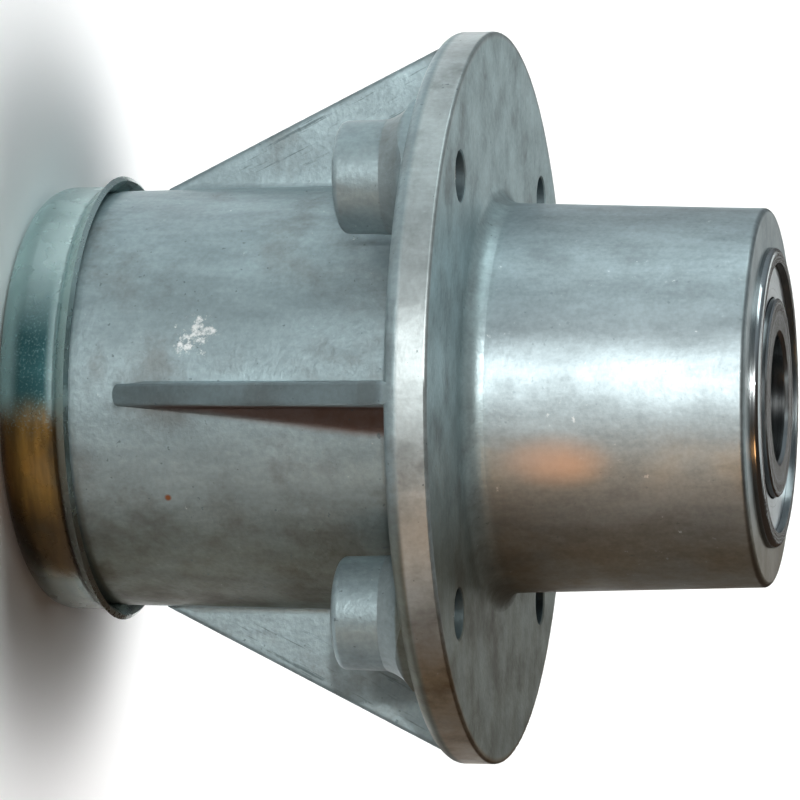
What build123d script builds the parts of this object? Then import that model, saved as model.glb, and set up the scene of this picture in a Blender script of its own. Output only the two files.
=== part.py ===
from build123d import *
from math import radians, tan
import os

# Spindle housing of a garden machine: a drafted aluminium casting with a shielded ball bearing
# pressed into each end, a loose sleeve between the bearings and a pressed steel dust cap.
# The spindle axis is Z with the nose up. The origin is the centre of the flange's mounting face.
# Lengths are in millimetres and angles in degrees.

# Flange
flange_radius = 64.0
flange_thickness = 7.4
flange_back_round = 2.0
flange_face_round = 0.5

# Bolt bosses on the flange's back, tapped right through
bolt_count = 4
bolt_start_angle = 45.0
bolt_circle_radius = 51.8
bolt_hole_radius = 4.25
bolt_mouth_chamfer = 0.3
boss_radius = 9.5
boss_height = 12.8
boss_draft = 1.5
boss_end_round = 1.2
boss_foot_height = 4.6
boss_foot_spread = 3.4
boss_foot_curve = 8.0
boss_rim_margin = 1.0

# Nose, above the flange
nose_height = 47.3
nose_root_radius = 34.2
nose_draft = 1.7
nose_root_fillet = 3.5
nose_edge_round = 1.0

# Barrel, below the flange, with a turned seat for the dust cap at its end
barrel_length = 73.2
barrel_root_radius = 37.7
barrel_draft = 0.8
barrel_root_fillet = 2.5
cap_seat_radius = 36.6
cap_seat_length = 12.6

# Ribs from the flange's back down to the barrel
rib_count = 4
rib_thickness = 3.8
rib_draft = 1.0
rib_length = 53.0
rib_rim_margin = 0.8
rib_root_fillet = 1.8
rib_root_sink = 0.6
rib_foot_start = 3.0
rib_foot_growth = 0.3
rib_crest_round = 0.6

# Cored hollow between the two bearing seats
lip_radius = 23.0
lip_thickness = 4.0
core_radius = 26.0
core_draft = 1.2

# Spindle bore shared by both bearings, and the sleeve that keeps them apart
bore_radius = 11.1125
sleeve_radius = 15.2
sleeve_bore_gap = 0.2
sleeve_end_play = 0.3
sleeve_chamfer = 0.5

# Nose bearing
nose_ring_radius = 26.0
nose_ring_width = 15.0
nose_pitch_radius = 19.25
nose_ball_radius = 3.969
nose_ball_count = 9
nose_shoulder_gap = 2.05
nose_land_width = 2.6
nose_bearing_stand = 1.6

# Barrel bearing, one series heavier on the same bore
barrel_ring_radius = 31.0
barrel_ring_width = 17.0
barrel_pitch_radius = 21.75
barrel_ball_radius = 5.7545
barrel_ball_count = 7
barrel_shoulder_gap = 3.1
barrel_land_width = 3.4
barrel_bearing_recess = 0.8

# Details that both bearings share
ring_round = 1.0
ring_bore_chamfer = 0.6
ring_shoulder_chamfer = 0.3
shield_recess = 1.2
shield_sheet = 0.4
shield_rim_depth = 1.0
shield_bend = 0.3
shield_gap = 0.3
cage_sheet = 0.6
cage_gap = 0.6
pocket_gap = 0.1
rivet_radius = 0.7
rivet_head_radius = 1.1
rivet_head_height = 0.45

# Dust cap
cap_sheet = 1.0
cap_corner_radius = 5.0
cap_corner_gap = 0.3
cap_hole_radius = 17.0
cap_lip_flare = 2.0
cap_lip_height = 2.4
cap_lip_bend = 1.5

# Fits
press_gap = 0.01
ball_play = 0.05
rivet_gap = 0.02

# Levels along the spindle axis
flange_back = -flange_thickness
barrel_end = flange_back - barrel_length
cap_seat_top = barrel_end + cap_seat_length
nose_bearing_top = nose_height + nose_bearing_stand
nose_shoulder = nose_bearing_top - nose_ring_width
barrel_bearing_bottom = barrel_end + barrel_bearing_recess
barrel_shoulder = barrel_bearing_bottom + barrel_ring_width
rib_tip = flange_back - rib_length
overlap = 1.0  # how far a piece of the casting is sunk into the next, so that they fuse


def drafted(root_radius, draft, distance):
    """Radius of a drafted cylinder at a distance from its root."""
    return root_radius - distance * tan(radians(draft))


nose_end_radius = drafted(nose_root_radius, nose_draft, nose_height)
barrel_step_radius = drafted(barrel_root_radius, barrel_draft, barrel_length - cap_seat_length)
barrel_tip_radius = drafted(barrel_root_radius, barrel_draft, rib_length)
barrel_end_round = cap_corner_radius - cap_sheet + cap_corner_gap
core_length = nose_shoulder - lip_thickness - barrel_shoulder
core_end_radius = drafted(core_radius, -core_draft, core_length)

os.makedirs("parts", exist_ok=True)


def save(piece, name):
    """Label a finished piece and write it as its own STEP file."""
    piece.part.label = name
    export_step(piece.part, f"parts/{name}.step")


# One rib's web: a drafted section drawn along its sloping crest, with a round tip.
rib_outer_radius = flange_radius - rib_rim_margin
rib_foot_radius = barrel_tip_radius - rib_root_sink
rib_reach = rib_outer_radius - rib_foot_radius
rib_root_thickness = rib_thickness + 2 * rib_reach * tan(radians(rib_draft))
rib_top = flange_back + overlap
rib_tip_round = rib_thickness / 2 + rib_crest_round
rib_plan_start = rib_tip + rib_tip_round
crest_tip = Vector(barrel_tip_radius, 0, rib_tip)
crest_run = Vector(rib_outer_radius, 0, flange_back) - crest_tip
crest_slope = crest_run.normalized()
crest_plane = Plane(crest_tip - crest_slope * overlap, x_dir=(0, 1, 0), z_dir=crest_slope)

with BuildPart() as rib_web:
    with BuildSketch(crest_plane) as web_section:
        with BuildLine():
            Polyline(
                (-rib_thickness / 2, 0),
                (rib_thickness / 2, 0),
                (rib_root_thickness / 2, rib_reach),
                (-rib_root_thickness / 2, rib_reach),
                close=True,
            )
        make_face()
        fillet(web_section.vertices().group_by(Axis.Y)[0], rib_crest_round)
    extrude(amount=crest_run.length + 2 * overlap)
    with BuildSketch(Plane.YZ):
        with Locations((0, rib_plan_start)):
            Circle(rib_tip_round)
        with Locations((0, (rib_plan_start + rib_top) / 2)):
            Rectangle(2 * rib_tip_round, rib_top - rib_plan_start)
    extrude(amount=flange_radius, mode=Mode.INTERSECT)

# One rib: the web on a filleted foot, which grows from nothing near the tip to its full size.
foot_sections = (
    (rib_tip + rib_foot_start, rib_foot_start * rib_foot_growth),
    (rib_tip + rib_root_fillet / rib_foot_growth, rib_root_fillet),
    (rib_top, rib_root_fillet),
)

with BuildPart() as rib:
    for lower, upper in zip(foot_sections, foot_sections[1:]):
        for level, flare in (lower, upper):
            growth = (rib_root_thickness - rib_thickness) * (level - rib_tip) / rib_length
            foot_half = (rib_thickness + growth) / 2
            with BuildSketch(Plane.XY.offset(level)):
                with BuildLine():
                    Line((rib_foot_radius + flare, foot_half), (rib_foot_radius + flare, -foot_half))
                    RadiusArc(
                        (rib_foot_radius + flare, -foot_half),
                        (rib_foot_radius, -foot_half - flare),
                        -flare,
                    )
                    Polyline(
                        (rib_foot_radius, -foot_half - flare),
                        (rib_foot_radius - overlap, -foot_half - flare),
                        (rib_foot_radius - overlap, foot_half + flare),
                        (rib_foot_radius, foot_half + flare),
                    )
                    RadiusArc(
                        (rib_foot_radius, foot_half + flare),
                        (rib_foot_radius + flare, foot_half),
                        -flare,
                    )
                make_face()
        loft()
    add(rib_web.part)

# One boss: a drafted stud with a rounded end and a flared foot that stops inside the flange's rim.
boss_end = flange_back - boss_height
boss_root_radius = drafted(boss_radius, -boss_draft, boss_height - boss_foot_height)
boss_foot_radius = boss_root_radius + boss_foot_spread
boss_foot_level = flange_back - boss_foot_height

with BuildPart() as boss:
    with BuildSketch(Plane.XZ):
        with BuildLine():
            FilletPolyline(
                (0, boss_end),
                (boss_radius, boss_end),
                (boss_root_radius, boss_foot_level),
                radius=[boss_end_round],
            )
            RadiusArc(
                (boss_root_radius, boss_foot_level),
                (boss_foot_radius, flange_back),
                boss_foot_curve,
            )
            Polyline(
                (boss_foot_radius, flange_back),
                (boss_foot_radius, flange_back + overlap),
                (0, flange_back + overlap),
                (0, boss_end),
            )
        make_face()
    revolve(axis=Axis.Z)
    with BuildSketch(Plane.XY.offset(flange_back + overlap)):
        with Locations((-bolt_circle_radius, 0)):
            Circle(flange_radius - boss_rim_margin)
    extrude(amount=-(boss_height + overlap), mode=Mode.INTERSECT)

with BuildPart() as housing:
    # Turned outline of the nose, flange and barrel.
    with BuildSketch(Plane.XZ):
        with BuildLine():
            FilletPolyline(
                (0, nose_height),
                (nose_end_radius, nose_height),
                (nose_root_radius, 0),
                (flange_radius, 0),
                (flange_radius, flange_back),
                (barrel_root_radius, flange_back),
                (barrel_step_radius, cap_seat_top),
                (cap_seat_radius, cap_seat_top),
                (cap_seat_radius, barrel_end),
                (0, barrel_end),
                radius=[
                    nose_edge_round,
                    nose_root_fillet,
                    flange_face_round,
                    flange_back_round,
                    barrel_root_fillet,
                    0,
                    0,
                    barrel_end_round,
                ],
            )
            Line((0, barrel_end), (0, nose_height))
        make_face()
    revolve(axis=Axis.Z)
    with PolarLocations(0, rib_count):
        add(rib.part)
    with PolarLocations(bolt_circle_radius, bolt_count, start_angle=bolt_start_angle):
        add(boss.part)
    with PolarLocations(bolt_circle_radius, bolt_count, start_angle=bolt_start_angle):
        Hole(bolt_hole_radius)
    bolt_mouths = housing.edges().filter_by(GeomType.CIRCLE)
    bolt_mouths = bolt_mouths.filter_by(lambda edge: abs(edge.radius - bolt_hole_radius) < press_gap)
    chamfer(bolt_mouths, bolt_mouth_chamfer)
    # Bearing seats, the lip that the nose bearing sits on and the drafted core between.
    with BuildSketch(Plane.XZ):
        with BuildLine():
            Polyline(
                (0, nose_height),
                (nose_ring_radius + press_gap, nose_height),
                (nose_ring_radius + press_gap, nose_shoulder),
                (lip_radius, nose_shoulder),
                (lip_radius, nose_shoulder - lip_thickness),
                (core_radius, nose_shoulder - lip_thickness),
                (core_end_radius, barrel_shoulder),
                (barrel_ring_radius + press_gap, barrel_shoulder),
                (barrel_ring_radius + press_gap, barrel_end),
                (0, barrel_end),
                close=True,
            )
        make_face()
    revolve(axis=Axis.Z, mode=Mode.SUBTRACT)
save(housing, "housing")

# Dust cap: one thickness of sheet, pressed over the barrel's end, with a flared lip.
cap_middle_radius = cap_seat_radius + press_gap + cap_sheet / 2
cap_bottom = barrel_end - cap_sheet / 2
cap_lip_top = cap_seat_top
cap_lip_middle_radius = cap_middle_radius + cap_lip_flare

with BuildPart() as dust_cap:
    with BuildSketch(Plane.XZ):
        with BuildLine() as cap_section:
            FilletPolyline(
                (cap_hole_radius, cap_bottom),
                (cap_middle_radius, cap_bottom),
                (cap_middle_radius, cap_lip_top - cap_lip_height),
                (cap_lip_middle_radius, cap_lip_top),
                radius=[cap_corner_radius - cap_sheet / 2, cap_lip_bend],
            )
        trace(cap_section.line, cap_sheet)
    revolve(axis=Axis.Z)
save(dust_cap, "dust_cap")

# Sleeve that stands on the barrel bearing's inner ring and stops short of the nose bearing's.
with BuildPart() as spacer_sleeve:
    with BuildSketch(Plane.XY.offset(barrel_shoulder)):
        Circle(sleeve_radius)
        Circle(bore_radius + sleeve_bore_gap, mode=Mode.SUBTRACT)
    extrude(amount=nose_shoulder - barrel_shoulder - sleeve_end_play)
    sleeve_rims = spacer_sleeve.edges().filter_by(GeomType.CIRCLE).group_by(SortBy.RADIUS)[-1]
    chamfer(sleeve_rims, sleeve_chamfer)
save(spacer_sleeve, "spacer_sleeve")


def ball_bearing(
    name,
    middle,
    ring_radius,
    ring_width,
    pitch_radius,
    shoulder_gap,
    ball_radius,
    ball_count,
    land_width,
):
    """A shielded deep-groove ball bearing about Z, with a riveted ribbon cage, centred at a height."""
    axial_plane = Plane((0, 0, middle), x_dir=(1, 0, 0), z_dir=(0, -1, 0))
    middle_plane = Plane.XY.offset(middle)
    face = ring_width / 2
    inner_shoulder = pitch_radius - shoulder_gap
    outer_shoulder = pitch_radius + shoulder_gap
    shield_seat_radius = ring_radius - land_width
    shield_seat_step = shield_seat_radius - outer_shoulder
    shield_seat_depth = shield_recess + shield_sheet + shield_rim_depth

    with BuildPart() as outer_ring:
        with BuildSketch(axial_plane) as section:
            with Locations(((ring_radius + outer_shoulder) / 2, 0)):
                Rectangle(ring_radius - outer_shoulder, ring_width)
            fillet(section.vertices().group_by(Axis.X)[-1], ring_round)
            with Locations((outer_shoulder, face), (outer_shoulder, -face)):
                Rectangle(2 * shield_seat_step, 2 * shield_seat_depth, mode=Mode.SUBTRACT)
            with Locations((pitch_radius, 0)):
                Circle(ball_radius + ball_play, mode=Mode.SUBTRACT)
        revolve(axis=Axis.Z)
    save(outer_ring, f"{name}_outer_ring")

    with BuildPart() as inner_ring:
        with BuildSketch(axial_plane) as section:
            with Locations(((bore_radius + inner_shoulder) / 2, 0)):
                Rectangle(inner_shoulder - bore_radius, ring_width)
            chamfer(section.vertices().group_by(Axis.X)[0], ring_bore_chamfer)
            chamfer(section.vertices().group_by(Axis.X)[-1], ring_shoulder_chamfer)
            with Locations((pitch_radius, 0)):
                Circle(ball_radius + ball_play, mode=Mode.SUBTRACT)
        revolve(axis=Axis.Z)
    save(inner_ring, f"{name}_inner_ring")

    shield_hole_radius = inner_shoulder + shield_gap
    shield_rim_radius = shield_seat_radius - press_gap
    shield_face = face - shield_recess
    shield_floor = face - shield_seat_depth
    with BuildPart() as shield_upper:
        with BuildSketch(axial_plane):
            with BuildLine():
                FilletPolyline(
                    (shield_hole_radius, shield_face),
                    (shield_rim_radius, shield_face),
                    (shield_rim_radius, shield_floor),
                    (shield_rim_radius - shield_sheet, shield_floor),
                    (shield_rim_radius - shield_sheet, shield_face - shield_sheet),
                    (shield_hole_radius, shield_face - shield_sheet),
                    radius=[0, shield_bend, 0, 0, 0, 0],
                    close=True,
                )
            make_face()
        revolve(axis=Axis.Z)
    save(shield_upper, f"{name}_shield_upper")

    with BuildPart() as shield_lower:
        mirror(shield_upper.part, about=middle_plane)
    save(shield_lower, f"{name}_shield_lower")

    pocket_radius = ball_radius + pocket_gap
    cage_height = pocket_radius + cage_sheet
    cage_turn = 180 / ball_count
    rivet_head_middle = cage_sheet + rivet_head_height / 2
    with BuildPart() as cage_upper:
        with BuildSketch(middle_plane):
            Circle(outer_shoulder - cage_gap)
            Circle(inner_shoulder + cage_gap, mode=Mode.SUBTRACT)
        extrude(amount=cage_sheet)
        with Locations(middle_plane):
            with PolarLocations(pitch_radius, ball_count):
                Sphere(pocket_radius + cage_sheet)
        with BuildSketch(middle_plane):
            Circle(outer_shoulder - cage_gap)
            Circle(inner_shoulder + cage_gap, mode=Mode.SUBTRACT)
        extrude(amount=cage_height, mode=Mode.INTERSECT)
        with Locations(middle_plane):
            with PolarLocations(pitch_radius, ball_count):
                Sphere(pocket_radius, mode=Mode.SUBTRACT)
            with PolarLocations(pitch_radius, ball_count, start_angle=cage_turn):
                Cylinder(rivet_radius + rivet_gap, cage_height, mode=Mode.SUBTRACT)
    save(cage_upper, f"{name}_cage_upper")

    with BuildPart() as cage_lower:
        mirror(cage_upper.part, about=middle_plane)
    save(cage_lower, f"{name}_cage_lower")

    with BuildPart() as rivets:
        with Locations(middle_plane):
            with PolarLocations(pitch_radius, ball_count, start_angle=cage_turn):
                Cylinder(rivet_radius, 2 * cage_sheet)
                with Locations((0, 0, rivet_head_middle), (0, 0, -rivet_head_middle)):
                    Cylinder(rivet_head_radius, rivet_head_height)
    save(rivets, f"{name}_cage_rivets")

    for number, spot in enumerate(PolarLocations(pitch_radius, ball_count).locations, start=1):
        with BuildPart() as ball:
            with Locations(spot.position + (0, 0, middle)):
                Sphere(ball_radius)
        save(ball, f"{name}_ball_{number}")


ball_bearing(
    "nose",
    nose_bearing_top - nose_ring_width / 2,
    nose_ring_radius,
    nose_ring_width,
    nose_pitch_radius,
    nose_shoulder_gap,
    nose_ball_radius,
    nose_ball_count,
    nose_land_width,
)
ball_bearing(
    "barrel",
    barrel_bearing_bottom + barrel_ring_width / 2,
    barrel_ring_radius,
    barrel_ring_width,
    barrel_pitch_radius,
    barrel_shoulder_gap,
    barrel_ball_radius,
    barrel_ball_count,
    barrel_land_width,
)
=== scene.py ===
from math import cos, pi, radians, sin
from types import SimpleNamespace

import bpy
import numpy as np
from mathutils import Matrix, Quaternion, Vector


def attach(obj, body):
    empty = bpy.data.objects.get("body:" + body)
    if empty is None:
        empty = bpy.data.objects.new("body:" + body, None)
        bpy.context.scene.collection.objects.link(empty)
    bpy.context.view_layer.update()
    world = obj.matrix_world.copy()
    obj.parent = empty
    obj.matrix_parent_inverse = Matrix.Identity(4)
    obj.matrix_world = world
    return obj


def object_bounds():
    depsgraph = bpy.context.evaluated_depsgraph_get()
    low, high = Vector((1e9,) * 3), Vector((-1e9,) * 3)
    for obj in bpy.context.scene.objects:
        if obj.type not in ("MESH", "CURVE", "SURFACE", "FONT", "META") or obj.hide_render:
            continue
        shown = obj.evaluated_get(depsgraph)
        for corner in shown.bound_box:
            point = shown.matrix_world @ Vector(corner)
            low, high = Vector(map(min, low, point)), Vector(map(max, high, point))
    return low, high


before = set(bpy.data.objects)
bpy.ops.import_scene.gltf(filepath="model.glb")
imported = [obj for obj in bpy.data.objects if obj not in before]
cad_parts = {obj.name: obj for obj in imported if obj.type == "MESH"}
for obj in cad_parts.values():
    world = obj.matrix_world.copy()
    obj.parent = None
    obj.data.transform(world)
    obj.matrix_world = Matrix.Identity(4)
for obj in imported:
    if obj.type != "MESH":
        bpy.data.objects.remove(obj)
cad_low, cad_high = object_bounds()

# The housing: one aluminium casting with a drafted nose, a flange, a ribbed barrel and four bolt bosses.
# It is left as cast and tumbled, so the nose and rim are rubbed bright and the barrel stays matt and mottled.
# Its colour also holds painted light: warm shade on one side, a warm reflection, painted shadows and shade.

MILLIMETRE = 0.001

# Between these heights along the axis, distances from it or, for the painted side shade, places along x, in
# millimetres, a zone of the casting begins.
NOSE_FOOT = (1.5, 5.0)
NOSE_END = (46.2, 46.8)
MOUNTING_FACE = (-0.6, -0.2)
RIM_FRONT = (-5.6, -4.6)
RIM_OUTSIDE = (62.6, 63.7)
FLANGE_BACK = (-9.0, -8.0)
FLANGE_NECK = (-12.4, -11.8)
BARREL_OUTSIDE = (39.0, 41.0)
RIB_TIP = (-61.0, -60.5)
RIB_SIDE = (3.5, 5.0)
SIDE_SHADE_START = (10.0, 30.0)
RIM_SIDE_SHADE_START = (28.0, 48.0)

# The ribs' crests rise two to one, as these cosine and sine say.
CREST_COSINE = 0.895
CREST_SINE = 0.446

# The bolt holes' distance from both middle planes, and where the painted warm reflection and the single marks
# are, in millimetres.
BOLT_PLACE = 36.6
BOLT_HOLE_RADIUS = 4.3
WARM_REFLECTION_PLACE = (10.8, -31.0, 7.6)
KNOCK_PLACE = (-10.0, -36.0, -46.0)
RUST_PLACE = (17.5, -32.8, -51.6)

# Stains and painted shade share the first dark colour; drag marks, pits and painted shade share the second.
STAIN_AND_SHADE_COLOUR = (0.17, 0.19, 0.19, 1)
STREAK_AND_SHADE_COLOUR = (0.07, 0.10, 0.11, 1)
GRAIN_DEPTH = 0.2 * MILLIMETRE


def material_nodes(name):
    """A new material with its node tree and its surface shader."""
    material = bpy.data.materials.new(name)
    material.use_nodes = True
    tree = material.node_tree
    return material, tree, tree.nodes["Principled BSDF"]


def add_node(tree, kind, inputs, **settings):
    """One shader node, its inputs filled by name or number with a value or a link."""
    node = tree.nodes.new(kind)
    for name, value in settings.items():
        setattr(node, name, value)
    for name, value in inputs.items():
        if isinstance(value, bpy.types.NodeSocket):
            tree.links.new(value, node.inputs[name])
        else:
            node.inputs[name].default_value = value
    return node


def calculate(tree, operation, first, second=0.0):
    """The result of one arithmetic step on two numbers or links."""
    return add_node(tree, "ShaderNodeMath", {0: first, 1: second}, operation=operation).outputs[0]


def product(tree, *factors):
    """All the factors multiplied together."""
    result = factors[0]
    for factor in factors[1:]:
        result = calculate(tree, "MULTIPLY", result, factor)
    return result


def fade(tree, value, start, end, low=0.0, high=1.0):
    """A smooth change from low to high while the value goes from start to end."""
    inputs = {"Value": value, "From Min": start, "From Max": end, "To Min": low, "To Max": high}
    return add_node(tree, "ShaderNodeMapRange", inputs, interpolation_type="SMOOTHSTEP").outputs["Result"]


def by_zone(tree, zone, outside, inside):
    """One number outside a zone and another inside it."""
    return fade(tree, zone, 0.0, 1.0, outside, inside)


def blend_colour(tree, share, first, second, mode="MIX"):
    """The second colour laid over the first by a share from 0 to 1."""
    node = add_node(tree, "ShaderNodeMix", {}, data_type="RGBA", blend_type=mode)
    for socket, value in ((node.inputs["Factor"], share), (node.inputs[6], first), (node.inputs[7], second)):
        if isinstance(value, bpy.types.NodeSocket):
            tree.links.new(value, socket)
        else:
            socket.default_value = value
    return node.outputs[2]


def join_parts(tree, *parts):
    """A vector from up to three numbers."""
    return add_node(tree, "ShaderNodeCombineXYZ", dict(enumerate(parts))).outputs[0]


def place_in_millimetres(tree):
    """A point's place on the object in millimetres: the vector, its parts and its distance from the axis."""
    place = add_node(tree, "ShaderNodeTexCoord", {}).outputs["Object"]
    scale = (1 / MILLIMETRE,) * 3
    place = add_node(tree, "ShaderNodeMapping", {"Vector": place, "Scale": scale}).outputs["Vector"]
    x, y, z = add_node(tree, "ShaderNodeSeparateXYZ", {"Vector": place}).outputs
    squares = calculate(tree, "ADD", calculate(tree, "POWER", x, 2.0), calculate(tree, "POWER", y, 2.0))
    return place, x, y, z, calculate(tree, "SQRT", squares)


def cloud(tree, place, per_millimetre, detail=4.0, roughness=0.6, stretch=(1.0, 1.0, 1.0)):
    """Soft random clouds from 0 to 1, with so many to the millimetre."""
    place = add_node(tree, "ShaderNodeMapping", {"Vector": place, "Scale": stretch}).outputs["Vector"]
    inputs = {"Vector": place, "Scale": per_millimetre, "Detail": detail, "Roughness": roughness}
    return add_node(tree, "ShaderNodeTexNoise", inputs).outputs["Fac"]


def near_point(tree, place, point, reach, softness):
    """1 within reach of a point in millimetres, and 0 beyond reach and softness."""
    inputs = {0: place, 1: point}
    distance = add_node(tree, "ShaderNodeVectorMath", inputs, operation="DISTANCE").outputs["Value"]
    return fade(tree, distance, reach, reach + softness, 1.0, 0.0)


def casting_zones(tree, x, y, z, radius):
    """A share from 0 to 1 for each zone of the casting, and the distance from the ribs' middle planes."""
    nose = fade(tree, z, *NOSE_FOOT)
    face = fade(tree, z, *MOUNTING_FACE)
    rim = product(tree, fade(tree, radius, *RIM_OUTSIDE), fade(tree, z, *RIM_FRONT))
    back = fade(tree, z, *FLANGE_BACK, 1.0, 0.0)
    behind = product(tree, fade(tree, radius, *BARREL_OUTSIDE), back)
    off_centre = calculate(tree, "MINIMUM", calculate(tree, "ABSOLUTE", x), calculate(tree, "ABSOLUTE", y))
    rib = product(tree, fade(tree, z, *RIB_TIP), back, fade(tree, off_centre, *RIB_SIDE, 1.0, 0.0))
    return SimpleNamespace(
        nose=nose,
        nose_end=fade(tree, z, *NOSE_END, 0.0, 0.7),
        face=face,
        rim=rim,
        rim_edge=product(tree, rim, face),
        behind=behind,
        neck=product(tree, behind, fade(tree, z, *FLANGE_NECK, 0.0, 0.45)),
        rib=rib,
        off_centre=off_centre,
    )


def metal_with_painted_shade(tree, zones):
    """Each zone's own colour, with painted shade at the rim's front edge, on the flange's neck and at the
    nose's end.
    """
    barrel_colour = (0.265, 0.342, 0.364, 1)
    face_colour = (0.32, 0.41, 0.425, 1)
    rim_colour = (0.53, 0.60, 0.61, 1)
    nose_colour = (0.405, 0.485, 0.515, 1)
    colour = blend_colour(tree, zones.face, barrel_colour, face_colour)
    colour = blend_colour(tree, zones.rim, colour, rim_colour)
    colour = blend_colour(tree, zones.nose, colour, nose_colour)
    # The rim's front edge, the flange's neck and the nose's end are darkened: painted shade.
    for share in (product(tree, zones.rim_edge, 0.7), zones.neck, zones.nose_end):
        colour = blend_colour(tree, share, colour, STAIN_AND_SHADE_COLOUR)
    return colour


def mottle(tree, place, zones, blotches, grain, colour):
    """Dark blotches, fewer on the nose, under a fine grain and long smears."""
    stains = product(tree, fade(tree, blotches, 0.47, 0.72), by_zone(tree, zones.nose, 0.75, 0.25))
    colour = blend_colour(tree, stains, colour, STAIN_AND_SHADE_COLOUR)
    smears = cloud(tree, place, 0.16, 5.0, 0.65, (1.0, 1.0, 0.3))
    fine_shade = fade(tree, grain, 0.25, 0.75, 0.90, 1.06)
    shade = product(tree, fine_shade, fade(tree, smears, 0.3, 0.7, 0.84, 1.12))
    return blend_colour(tree, 1.0, colour, join_parts(tree, shade, shade, shade), "MULTIPLY")


def warm_side_shade(tree, x, zones, blotches, colour):
    """Painted warm shade browns one side, starting later on the rim, but not the ribs and bosses behind the
    flange.
    """
    barrel_side_shade = (0.41, 0.33, 0.235, 1)
    face_side_shade = (0.49, 0.40, 0.32, 1)
    rim_side_shade = (0.50, 0.30, 0.16, 1)
    nose_side_shade = (0.70, 0.48, 0.31, 1)
    clear = by_zone(tree, calculate(tree, "MAXIMUM", zones.behind, zones.rib), 1.0, 0.0)
    off_rim = by_zone(tree, zones.rim, 1.0, 0.0)
    rim_start = calculate(tree, "MAXIMUM", fade(tree, x, *RIM_SIDE_SHADE_START), off_rim)
    shade_strength = fade(tree, blotches, 0.3, 0.7, 0.8, 1.0)
    darkening = product(tree, fade(tree, x, *SIDE_SHADE_START), shade_strength, clear, rim_start)
    side_shade_colour = blend_colour(tree, zones.face, barrel_side_shade, face_side_shade)
    side_shade_colour = blend_colour(tree, zones.rim, side_shade_colour, rim_side_shade)
    side_shade_colour = blend_colour(tree, zones.nose, side_shade_colour, nose_side_shade)
    return blend_colour(tree, darkening, colour, side_shade_colour, "MULTIPLY")


def warm_reflection_patch(tree, place, colour):
    """A long amber patch near the nose's foot: a painted warm reflection."""
    warm_reflection_colour = (0.88, 0.62, 0.45, 1)
    inputs = {"Vector": place, "Scale": (1.0, 1.0, 0.5)}
    squashed = add_node(tree, "ShaderNodeMapping", inputs).outputs["Vector"]
    patch = product(tree, near_point(tree, squashed, WARM_REFLECTION_PLACE, 0.5, 5.5), 0.6)
    return blend_colour(tree, patch, colour, warm_reflection_colour)


def rib_and_hole_shade(tree, x, y, z, radius, colour):
    """A painted shadow along one side of two ribs' feet, wider towards the flange, and painted shade in the
    bolt holes.
    """
    rib_shadow_colour = (0.10, 0.032, 0.012, 1)
    # The wedge beside the ribs is a painted shadow.
    past_rib = calculate(tree, "SUBTRACT", x, fade(tree, z, -60.0, -8.0, 0.0, 5.0))
    foot = product(
        tree,
        fade(tree, past_rib, 1.0, 3.0, 1.0, 0.0),
        fade(tree, x, 1.5, 2.0),
        fade(tree, radius, 44.0, 50.0, 1.0, 0.0),
        fade(tree, z, -60.0, -50.0),
        fade(tree, z, *FLANGE_BACK, 0.75, 0.0),
    )
    colour = blend_colour(tree, foot, colour, rib_shadow_colour)
    # The bolt holes' walls are darkened: painted shade.
    bolt_x = calculate(tree, "SUBTRACT", calculate(tree, "ABSOLUTE", x), BOLT_PLACE)
    bolt_y = calculate(tree, "SUBTRACT", calculate(tree, "ABSOLUTE", y), BOLT_PLACE)
    in_hole = near_point(tree, join_parts(tree, bolt_x, bolt_y), (0.0, 0.0, 0.0), BOLT_HOLE_RADIUS, 0.1)
    return blend_colour(tree, product(tree, in_hole, 0.8), colour, STREAK_AND_SHADE_COLOUR)


def drag_marks(tree, z, radius, zones, colour):
    """The mould's drag marks run along the ribs' flanks, and the crests beside them are darkened with painted
    shade.
    """
    along = calculate(tree, "ADD", product(tree, radius, CREST_SINE), product(tree, z, CREST_COSINE))
    across = calculate(tree, "SUBTRACT", product(tree, radius, CREST_COSINE), product(tree, z, CREST_SINE))
    flank = join_parts(tree, across, product(tree, along, 0.07))
    in_line = fade(tree, zones.off_centre, 4.0, 5.0, 1.0, 0.0)
    scratches = fade(tree, cloud(tree, flank, 0.9, 4.0, 0.7), 0.55, 0.66, 0.0, 0.75)
    drag = product(tree, scratches, zones.behind, in_line)
    # The crests' darkening is painted shade.
    crest = product(
        tree,
        fade(tree, zones.off_centre, 2.0, 2.5, 1.0, 0.0),
        fade(tree, across, 58.8, 59.6, 0.0, 0.45),
        fade(tree, z, -60.6, -60.0),
        fade(tree, z, -8.2, -7.4, 1.0, 0.0),
    )
    return blend_colour(tree, calculate(tree, "MAXIMUM", drag, crest), colour, STREAK_AND_SHADE_COLOUR)


def pits_and_knocks(tree, place, zones, knocks, colour):
    """Dark pits, bright knocks and specks, and one rusty speck."""
    rust_colour = (0.20, 0.07, 0.025, 1)
    scuff_colour = (0.80, 0.84, 0.84, 1)
    pits = fade(tree, cloud(tree, place, 0.9, 2.0, 0.5), 0.70, 0.76, 0.0, 0.6)
    pits = product(tree, pits, by_zone(tree, zones.nose, 1.0, 0.4))
    colour = blend_colour(tree, pits, colour, STREAK_AND_SHADE_COLOUR)
    speckle = calculate(tree, "ADD", cloud(tree, place, 0.55, 5.0, 0.7), by_zone(tree, zones.nose, 0.0, 0.03))
    scuffs = calculate(tree, "MAXIMUM", knocks, fade(tree, speckle, 0.69, 0.76, 0.0, 0.7))
    colour = blend_colour(tree, scuffs, colour, scuff_colour)
    return blend_colour(tree, near_point(tree, place, RUST_PLACE, 0.3, 0.5), colour, rust_colour)


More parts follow.
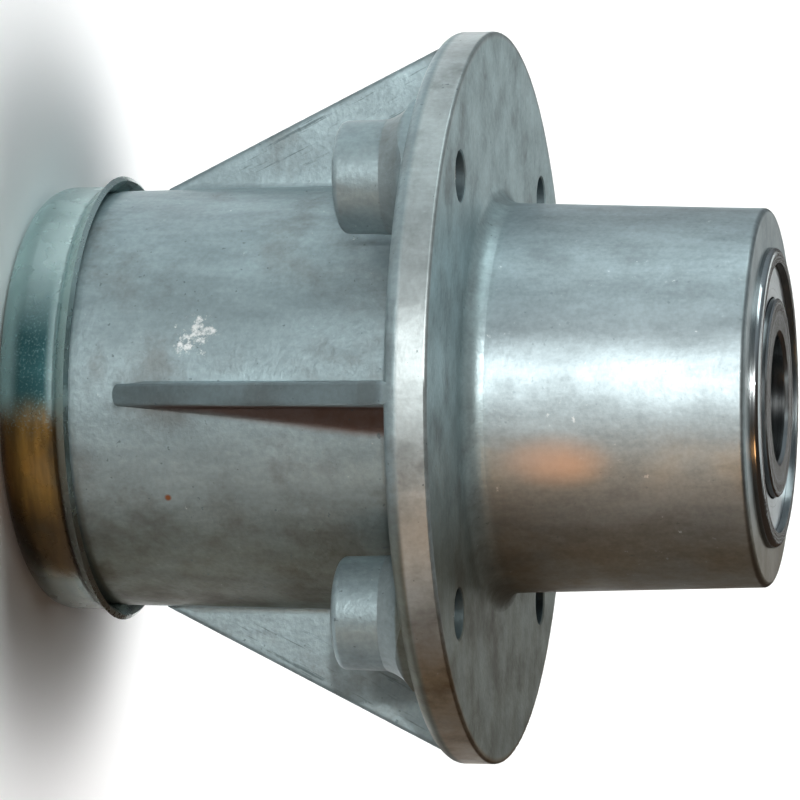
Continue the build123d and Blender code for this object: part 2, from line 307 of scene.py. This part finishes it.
def cast_aluminium():
    """As-cast aluminium: mottled and matt on the barrel, rubbed bright on the nose and the rim's front."""
    material, tree, surface = material_nodes("cast_aluminium")
    place, x, y, z, radius = place_in_millimetres(tree)
    zones = casting_zones(tree, x, y, z, radius)
    blotches = cloud(tree, place, 0.07, 6.0, 0.62)
    grain = cloud(tree, place, 1.1, 3.0, 0.6)
    knocked = near_point(tree, place, KNOCK_PLACE, 2.0, 8.0)
    knocks = fade(tree, product(tree, knocked, cloud(tree, place, 0.42, 5.0, 0.7)), 0.46, 0.60)

    # These colours hold painted light as well as wear: side shade, a warm reflection, shadows and shade.
    colour = metal_with_painted_shade(tree, zones)
    colour = mottle(tree, place, zones, blotches, grain, colour)
    colour = warm_side_shade(tree, x, zones, blotches, colour)
    colour = warm_reflection_patch(tree, place, colour)
    colour = rib_and_hole_shade(tree, x, y, z, radius, colour)
    colour = drag_marks(tree, z, radius, zones, colour)
    colour = pits_and_knocks(tree, place, zones, knocks, colour)
    tree.links.new(colour, surface.inputs["Base Color"])

    roughness = by_zone(tree, zones.nose, 0.50, 0.46)
    roughness = calculate(tree, "SUBTRACT", roughness, product(tree, zones.rim, 0.14))
    roughness = calculate(tree, "ADD", roughness, fade(tree, blotches, 0.3, 0.7, -0.05, 0.08))
    roughness = calculate(tree, "SUBTRACT", roughness, product(tree, knocks, 0.15))
    roughness = calculate(tree, "ADD", roughness, product(tree, zones.rim_edge, 0.3))
    tree.links.new(roughness, surface.inputs["Roughness"])
    polish = calculate(tree, "MAXIMUM", zones.nose, zones.rim)
    tree.links.new(by_zone(tree, polish, 0.74, 0.95), surface.inputs["Metallic"])

    height = calculate(tree, "ADD", grain, product(tree, cloud(tree, place, 0.25, 4.0), 2.0))
    strength = by_zone(tree, polish, 0.30, 0.08)
    bump = add_node(tree, "ShaderNodeBump", {"Strength": strength, "Distance": GRAIN_DEPTH, "Height": height})
    tree.links.new(bump.outputs["Normal"], surface.inputs["Normal"])
    return material


def dress(material, *names):
    """Give CAD nodes their finish in place of the plain one."""
    for name in names:
        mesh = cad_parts[name].data
        mesh.materials.clear()
        mesh.materials.append(material)


dress(cast_aluminium(), "housing")

# The threads of the four bolt holes: 3/8 in, sixteen turns to the inch, tapped through flange and bosses.
# They are cut bright in the aluminium, and run out at both mouths.

BOLT_COUNT = 4
BOLT_START = radians(45)
BOLT_CIRCLE = 51.8 * MILLIMETRE
THREAD_PITCH = 25.4 / 16 * MILLIMETRE
THREAD_ROOT = 4.27 * MILLIMETRE
THREAD_CREST = 3.90 * MILLIMETRE
THREAD_TOP = -0.7 * MILLIMETRE
THREAD_BOTTOM = -19.5 * MILLIMETRE
STEPS_A_TURN = 48
RUN_OUT_TURNS = 0.75


def bolt_threads(name):
    """Ridges that wind up round each bolt axis: the first parameter is the turn, which also sets the height,
    and the second goes from root to crest to root. Near both ends the crest sinks back to the root."""
    turns = (THREAD_TOP - THREAD_BOTTOM) / THREAD_PITCH - 1
    turn = np.linspace(0, turns, round(turns * STEPS_A_TURN))
    rise = np.array((0.04, 0.44, 0.56, 0.96))
    ridge = np.array((0.0, 1.0, 1.0, 0.0))
    cut = np.clip(np.minimum(turn, turns - turn) / RUN_OUT_TURNS, 0, 1)
    radius = THREAD_ROOT - (THREAD_ROOT - THREAD_CREST) * cut[:, None] * ridge
    angle = 2 * pi * turn[:, None] + np.zeros(rise.size)
    height = THREAD_BOTTOM + THREAD_PITCH * (turn[:, None] + rise)
    one = np.stack((radius * np.cos(angle), radius * np.sin(angle), height), axis=-1)
    bolts = BOLT_START + 2 * pi / BOLT_COUNT * np.arange(BOLT_COUNT)
    middles = BOLT_CIRCLE * np.stack((np.cos(bolts), np.sin(bolts), 0 * bolts), axis=-1)
    points = (one[None] + middles[:, None, None]).reshape(-1, 3)
    numbers = np.arange(len(points)).reshape(BOLT_COUNT, turn.size, rise.size)
    corners = (numbers[:, :-1, :-1], numbers[:, :-1, 1:], numbers[:, 1:, 1:], numbers[:, 1:, :-1])
    faces = np.stack(corners, axis=-1).reshape(-1, 4)
    mesh = bpy.data.meshes.new(name)
    mesh.from_pydata(points.tolist(), [], faces.tolist())
    piece = bpy.data.objects.new(name, mesh)
    bpy.context.scene.collection.objects.link(piece)
    return piece


def cut_aluminium():
    """Bright aluminium from a tap, dulled here and there by an old oily film."""
    bright_colour = (0.66, 0.71, 0.72, 1)
    oily_colour = (0.42, 0.45, 0.45, 1)
    material, tree, surface = material_nodes("cut_aluminium")
    place = place_in_millimetres(tree)[0]
    darkening = fade(tree, cloud(tree, place, 0.12, 2.0), 0.4, 0.7)
    tree.links.new(blend_colour(tree, darkening, bright_colour, oily_colour), surface.inputs["Base Color"])
    tree.links.new(by_zone(tree, darkening, 0.30, 0.42), surface.inputs["Roughness"])
    surface.inputs["Metallic"].default_value = 1.0
    return material


threads = bolt_threads("bolt_threads")
threads.data.materials.append(cut_aluminium())
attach(threads, "housing")

# The bearings: two shielded ball bearings pressed into the ends of the casting.
# Rings and balls are ground and polished steel, shields and cages are pressed sheet.

RING_COLOUR = (0.40, 0.43, 0.44, 1)
SHIELD_COLOUR = (0.52, 0.55, 0.56, 1)
BALL_COLOUR = (0.72, 0.73, 0.74, 1)
CAGE_COLOUR = (0.50, 0.51, 0.52, 1)
SMEAR_SHADE = 0.72
RING_DEPTH = 0.02 * MILLIMETRE


def ground_steel(name, colour, roughness, fine_rings):
    """Turned or ground steel, with so many fine rings to the millimetre about the spindle axis."""
    material, tree, surface = material_nodes(name)
    place, _, _, z, radius = place_in_millimetres(tree)
    rings = cloud(tree, join_parts(tree, radius, z), fine_rings, 3.0, 0.7)
    smears = fade(tree, cloud(tree, place, 0.12, 4.0), 0.35, 0.75)
    dull = tuple(SMEAR_SHADE * part for part in colour[:3]) + (1,)
    tree.links.new(blend_colour(tree, smears, colour, dull), surface.inputs["Base Color"])
    wear = fade(tree, rings, 0.2, 0.8, roughness - 0.06, roughness + 0.08)
    tree.links.new(wear, surface.inputs["Roughness"])
    surface.inputs["Metallic"].default_value = 1.0
    bump = add_node(tree, "ShaderNodeBump", {"Strength": 0.1, "Distance": RING_DEPTH, "Height": rings})
    tree.links.new(bump.outputs["Normal"], surface.inputs["Normal"])
    return material


def bearing_nodes(kind):
    """Names of the CAD nodes of both bearings that hold this word."""
    return [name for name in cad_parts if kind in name]


ring_steel = ground_steel("ring_steel", RING_COLOUR, roughness=0.19, fine_rings=4.0)
shield_steel = ground_steel("shield_steel", SHIELD_COLOUR, roughness=0.30, fine_rings=3.0)
ball_steel = ground_steel("ball_steel", BALL_COLOUR, roughness=0.10, fine_rings=1.0)
cage_steel = ground_steel("cage_steel", CAGE_COLOUR, roughness=0.32, fine_rings=2.0)
dress(ring_steel, *bearing_nodes("_ring"))
dress(shield_steel, *bearing_nodes("_shield"))
dress(ball_steel, *bearing_nodes("_ball_"))
dress(cage_steel, *bearing_nodes("_cage"))

# The spacer sleeve: a length of drawn steel tube, loose between the two inner rings.
# It keeps the bearings apart when the spindle's nut is pulled tight.

SLEEVE_COLOUR = (0.45, 0.46, 0.47, 1)

sleeve_steel = ground_steel("sleeve_steel", SLEEVE_COLOUR, roughness=0.38, fine_rings=1.5)
dress(sleeve_steel, "spacer_sleeve")

# The dust cap: a cup pressed from steel sheet and pushed over the barrel's end, with a flared lip.
# Its zinc plating is pale blue-green; painted reflections lay dark, gold and brown bands across one side.

# Between these heights the lip and the wall begin, and between these places along x the painted reflection's
# bands begin or end, in millimetres.
CAP_LIP = (-70.4, -69.6)
CAP_LIP_FOOT = (-72.6, -71.0)
CAP_CORNER = (-79.0, -76.4)
DARK_START = (-23.0, -9.0)
DARK_STOP = (2.0, 9.0)
GOLD_START = (0.0, 6.0)
BROWN_START = (13.0, 24.0)
FAR_SIDE = (28.0, 33.0)


def zinc_plating():
    """Passivated zinc: a pale blue-green film, with painted reflections that pass a dark band to gold and
    brown on one side.
    """
    pale_film = (0.50, 0.66, 0.66, 1)
    dark_reflection_and_stain = (0.050, 0.140, 0.150, 1)
    gold_reflection = (0.42, 0.235, 0.06, 1)
    brown_reflection = (0.055, 0.036, 0.020, 1)
    spangle_film = (0.34, 0.56, 0.58, 1)
    lip_highlight = (0.66, 0.78, 0.75, 1)
    material, tree, surface = material_nodes("zinc_plating")
    place, x, _, z, _ = place_in_millimetres(tree)

    # The painted reflection's bands lie side by side along x, drift a little, and are deepest on the cap's
    # wall.
    drift = calculate(tree, "ADD", x, fade(tree, cloud(tree, place, 0.03, 2.0), 0.3, 0.7, -2.0, 2.0))
    deep = product(tree, fade(tree, z, *CAP_LIP_FOOT, 1.0, 0.35), fade(tree, z, *CAP_CORNER, 0.4, 1.0))
    dark = product(tree, fade(tree, drift, *DARK_START), fade(tree, drift, *DARK_STOP, 1.0, 0.0))
    gold = product(tree, fade(tree, drift, *GOLD_START), fade(tree, drift, *FAR_SIDE, 1.0, 0.4))
    brown = product(tree, fade(tree, drift, *BROWN_START), fade(tree, drift, *FAR_SIDE, 0.9, 0.4))
    gold_streaks = cloud(tree, place, 0.6, 3.0, 0.5, (0.15, 0.15, 1.0))
    gold_share = product(tree, deep, fade(tree, gold_streaks, 0.25, 0.75, 0.35, 1.0))
    gold_shade = blend_colour(tree, gold_share, brown_reflection, gold_reflection)
    colour = blend_colour(tree, product(tree, dark, deep), pale_film, dark_reflection_and_stain)
    colour = blend_colour(tree, gold, colour, gold_shade)
    colour = blend_colour(tree, brown, colour, brown_reflection)

    # Spangles of the plating show in the dark band, and dark stains lie here and there.
    spangles = fade(tree, cloud(tree, place, 2.4, 3.0, 0.6), 0.50, 0.80, 0.0, 0.7)
    colour = blend_colour(tree, product(tree, spangles, dark), colour, spangle_film)
    stains = fade(tree, cloud(tree, place, 0.12, 3.0, 0.5), 0.45, 0.75, 0.0, 0.2)
    colour = blend_colour(tree, stains, colour, dark_reflection_and_stain)
    # The lip is lighter all round: a painted highlight.
    colour = blend_colour(tree, fade(tree, z, *CAP_LIP, 0.0, 0.6), colour, lip_highlight)
    tree.links.new(colour, surface.inputs["Base Color"])
    roughness = fade(tree, cloud(tree, place, 0.2, 4.0), 0.3, 0.7, 0.20, 0.32)
    tree.links.new(roughness, surface.inputs["Roughness"])
    surface.inputs["Metallic"].default_value = 1.0
    return material


dress(zinc_plating(), "dust_cap")

# The studio floor: a large flat sheet in plain pale paint, level with the underside of the dust cap.
# It is not part of the object.

FLOOR_HALF = 4.0
FLOOR_COLOUR = (0.93, 0.93, 0.93, 1)
FLOOR_ROUGHNESS = 0.9
FLOOR_GLOSS = 0.1
floor_level = cad_low.z


def flat_sheet(name, half, level):
    """A level square: two parameters from -half to half give x and y, and z is the level."""
    across, along = np.meshgrid((-half, half), (-half, half))
    points = np.stack((across.ravel(), along.ravel(), np.full(across.size, level)), axis=1)
    mesh = bpy.data.meshes.new(name)
    mesh.from_pydata(points.tolist(), [], [(0, 1, 3, 2)])
    sheet = bpy.data.objects.new(name, mesh)
    bpy.context.scene.collection.objects.link(sheet)
    return sheet


def floor_paint():
    """Plain pale paint."""
    material, _, surface = material_nodes("floor_paint")
    surface.inputs["Base Color"].default_value = FLOOR_COLOUR
    surface.inputs["Roughness"].default_value = FLOOR_ROUGHNESS
    surface.inputs["Specular IOR Level"].default_value = FLOOR_GLOSS
    return material


floor = flat_sheet("floor", FLOOR_HALF, floor_level)
floor.data.materials.append(floor_paint())

# The lamps: a small bright one and a low one beside the camera, a warm one on the browned side,
# and softboxes at the side, the back and the top. A gridded one hangs over the floor behind the object,
# so that the floor is white where the camera sees it.

FLASH_LIGHT = (1.0, 0.99, 0.97)
SIDE_LIGHT = (0.90, 1.0, 1.0)
COOL_LIGHT = (0.95, 1.0, 1.0)
WARM_LIGHT = (1.0, 0.50, 0.20)
WHITE_LIGHT = (1.0, 1.0, 1.0)
FLOOR_LAMP_PLACE = (-0.04, 0.72, floor_level + 0.5)
FLOOR_LAMP_WIDTH = 0.52
FLOOR_LAMP_LENGTH = 1.60
FLOOR_LAMP_SPREAD = radians(40)


def area_lamp(name, location, rotation, size, power, colour):
    """A square lamp that the camera does not see."""
    lamp = bpy.data.lights.new(name, "AREA")
    lamp.size = size
    lamp.energy = power
    lamp.color = colour
    holder = bpy.data.objects.new(name, lamp)
    holder.location = location
    holder.rotation_mode = "QUATERNION"
    holder.rotation_quaternion = rotation
    holder.visible_camera = False
    bpy.context.scene.collection.objects.link(holder)
    return holder


def soft_lamp(name, azimuth, elevation, distance, size, power, colour):
    """A lamp aimed at the object, placed by its angle round the axis from the camera's side and its rise."""
    turn, rise = radians(azimuth), radians(elevation)
    way = Vector((sin(turn) * cos(rise), -cos(turn) * cos(rise), sin(rise)))
    return area_lamp(name, way * distance, way.to_track_quat("Z", "Y"), size, power, colour)


key_lamp = soft_lamp("key_lamp", -9.5, 12, distance=1.25, size=0.035, power=8.0, colour=FLASH_LIGHT)
soft_lamp("low_lamp", -9.5, 2, distance=1.25, size=0.06, power=2.8, colour=FLASH_LIGHT)
soft_lamp("side_softbox", -80, 16, distance=1.8, size=1.0, power=11.0, colour=SIDE_LIGHT)
soft_lamp("warm_lamp", 40, 4, distance=1.6, size=0.3, power=2.2, colour=WARM_LIGHT)
soft_lamp("back_softbox", -173, 27, distance=1.8, size=0.7, power=2.4, colour=COOL_LIGHT)
top_softbox = soft_lamp("top_softbox", 180, 72, distance=1.4, size=1.0, power=4.0, colour=COOL_LIGHT)

straight_down = Quaternion()
floor_lamp = area_lamp("floor_lamp", FLOOR_LAMP_PLACE, straight_down, FLOOR_LAMP_WIDTH, 2.9, WHITE_LIGHT)
floor_lamp.data.shape = "RECTANGLE"
floor_lamp.data.size_y = FLOOR_LAMP_LENGTH
floor_lamp.data.spread = FLOOR_LAMP_SPREAD


def light_only(name, pieces, *lamps):
    """Let these lamps light only these pieces."""
    receivers = bpy.data.collections.new(name)
    for piece in pieces:
        receivers.objects.link(piece)
    for lamp in lamps:
        lamp.light_linking.receiver_collection = receivers


light_only("lit_object", (*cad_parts.values(), threads), key_lamp, top_softbox)
light_only("lit_floor", (floor,), floor_lamp)

# The room: bright and cool to one side, dim and brown to the other, for the metal to reflect.
# It is the world's colour, by the direction's sideways part.

BRIGHT_SIDE = (0.40, 0.46, 0.50, 1)
DIM_SIDE = (0.060, 0.041, 0.030, 1)
DIM_START = (-0.85, 0.0)
ROOM_STRENGTH = 0.8

world = bpy.data.worlds.new("studio")
bpy.context.scene.world = world
world.use_nodes = True
world_tree = world.node_tree
direction = add_node(world_tree, "ShaderNodeTexCoord", {}).outputs["Generated"]
sideways = add_node(world_tree, "ShaderNodeSeparateXYZ", {"Vector": direction}).outputs[0]
room_colour = blend_colour(world_tree, fade(world_tree, sideways, *DIM_START), BRIGHT_SIDE, DIM_SIDE)
background = world_tree.nodes["Background"]
world_tree.links.new(room_colour, background.inputs["Color"])
background.inputs["Strength"].default_value = ROOM_STRENGTH

# The camera: a long lens a little above the flange, turned on its side so that the spindle axis lies level.
# It looks down by the tip, from a side that the turn sets, and aims at a point along the axis.

LENS = 204.6
SENSOR = 36.0
TIP = radians(12.38)
TURN = radians(0.74)
AIM_ALONG = 17.9 * MILLIMETRE
AIM_ACROSS = 0.37 * MILLIMETRE
CAMERA_DISTANCE = 796.5 * MILLIMETRE

axis = Vector((0, 0, 1))
near = Vector((sin(TURN), -cos(TURN), 0))
camera_right = cos(TIP) * axis - sin(TIP) * near
camera_back = sin(TIP) * axis + cos(TIP) * near
camera_up = near.cross(axis)
camera_place = -AIM_ALONG * camera_right - AIM_ACROSS * camera_up + CAMERA_DISTANCE * camera_back
camera_turn = Matrix((camera_right, camera_up, camera_back)).transposed().to_quaternion()
camera_data = bpy.data.cameras.new("camera")
camera_data.lens = LENS
camera_data.sensor_width = SENSOR
camera = bpy.data.objects.new("camera", camera_data)
camera.matrix_world = Matrix.LocRotScale(camera_place, camera_turn, None)
bpy.context.scene.collection.objects.link(camera)
bpy.context.scene.camera = camera

bpy.context.scene.view_settings.view_transform = "Standard"
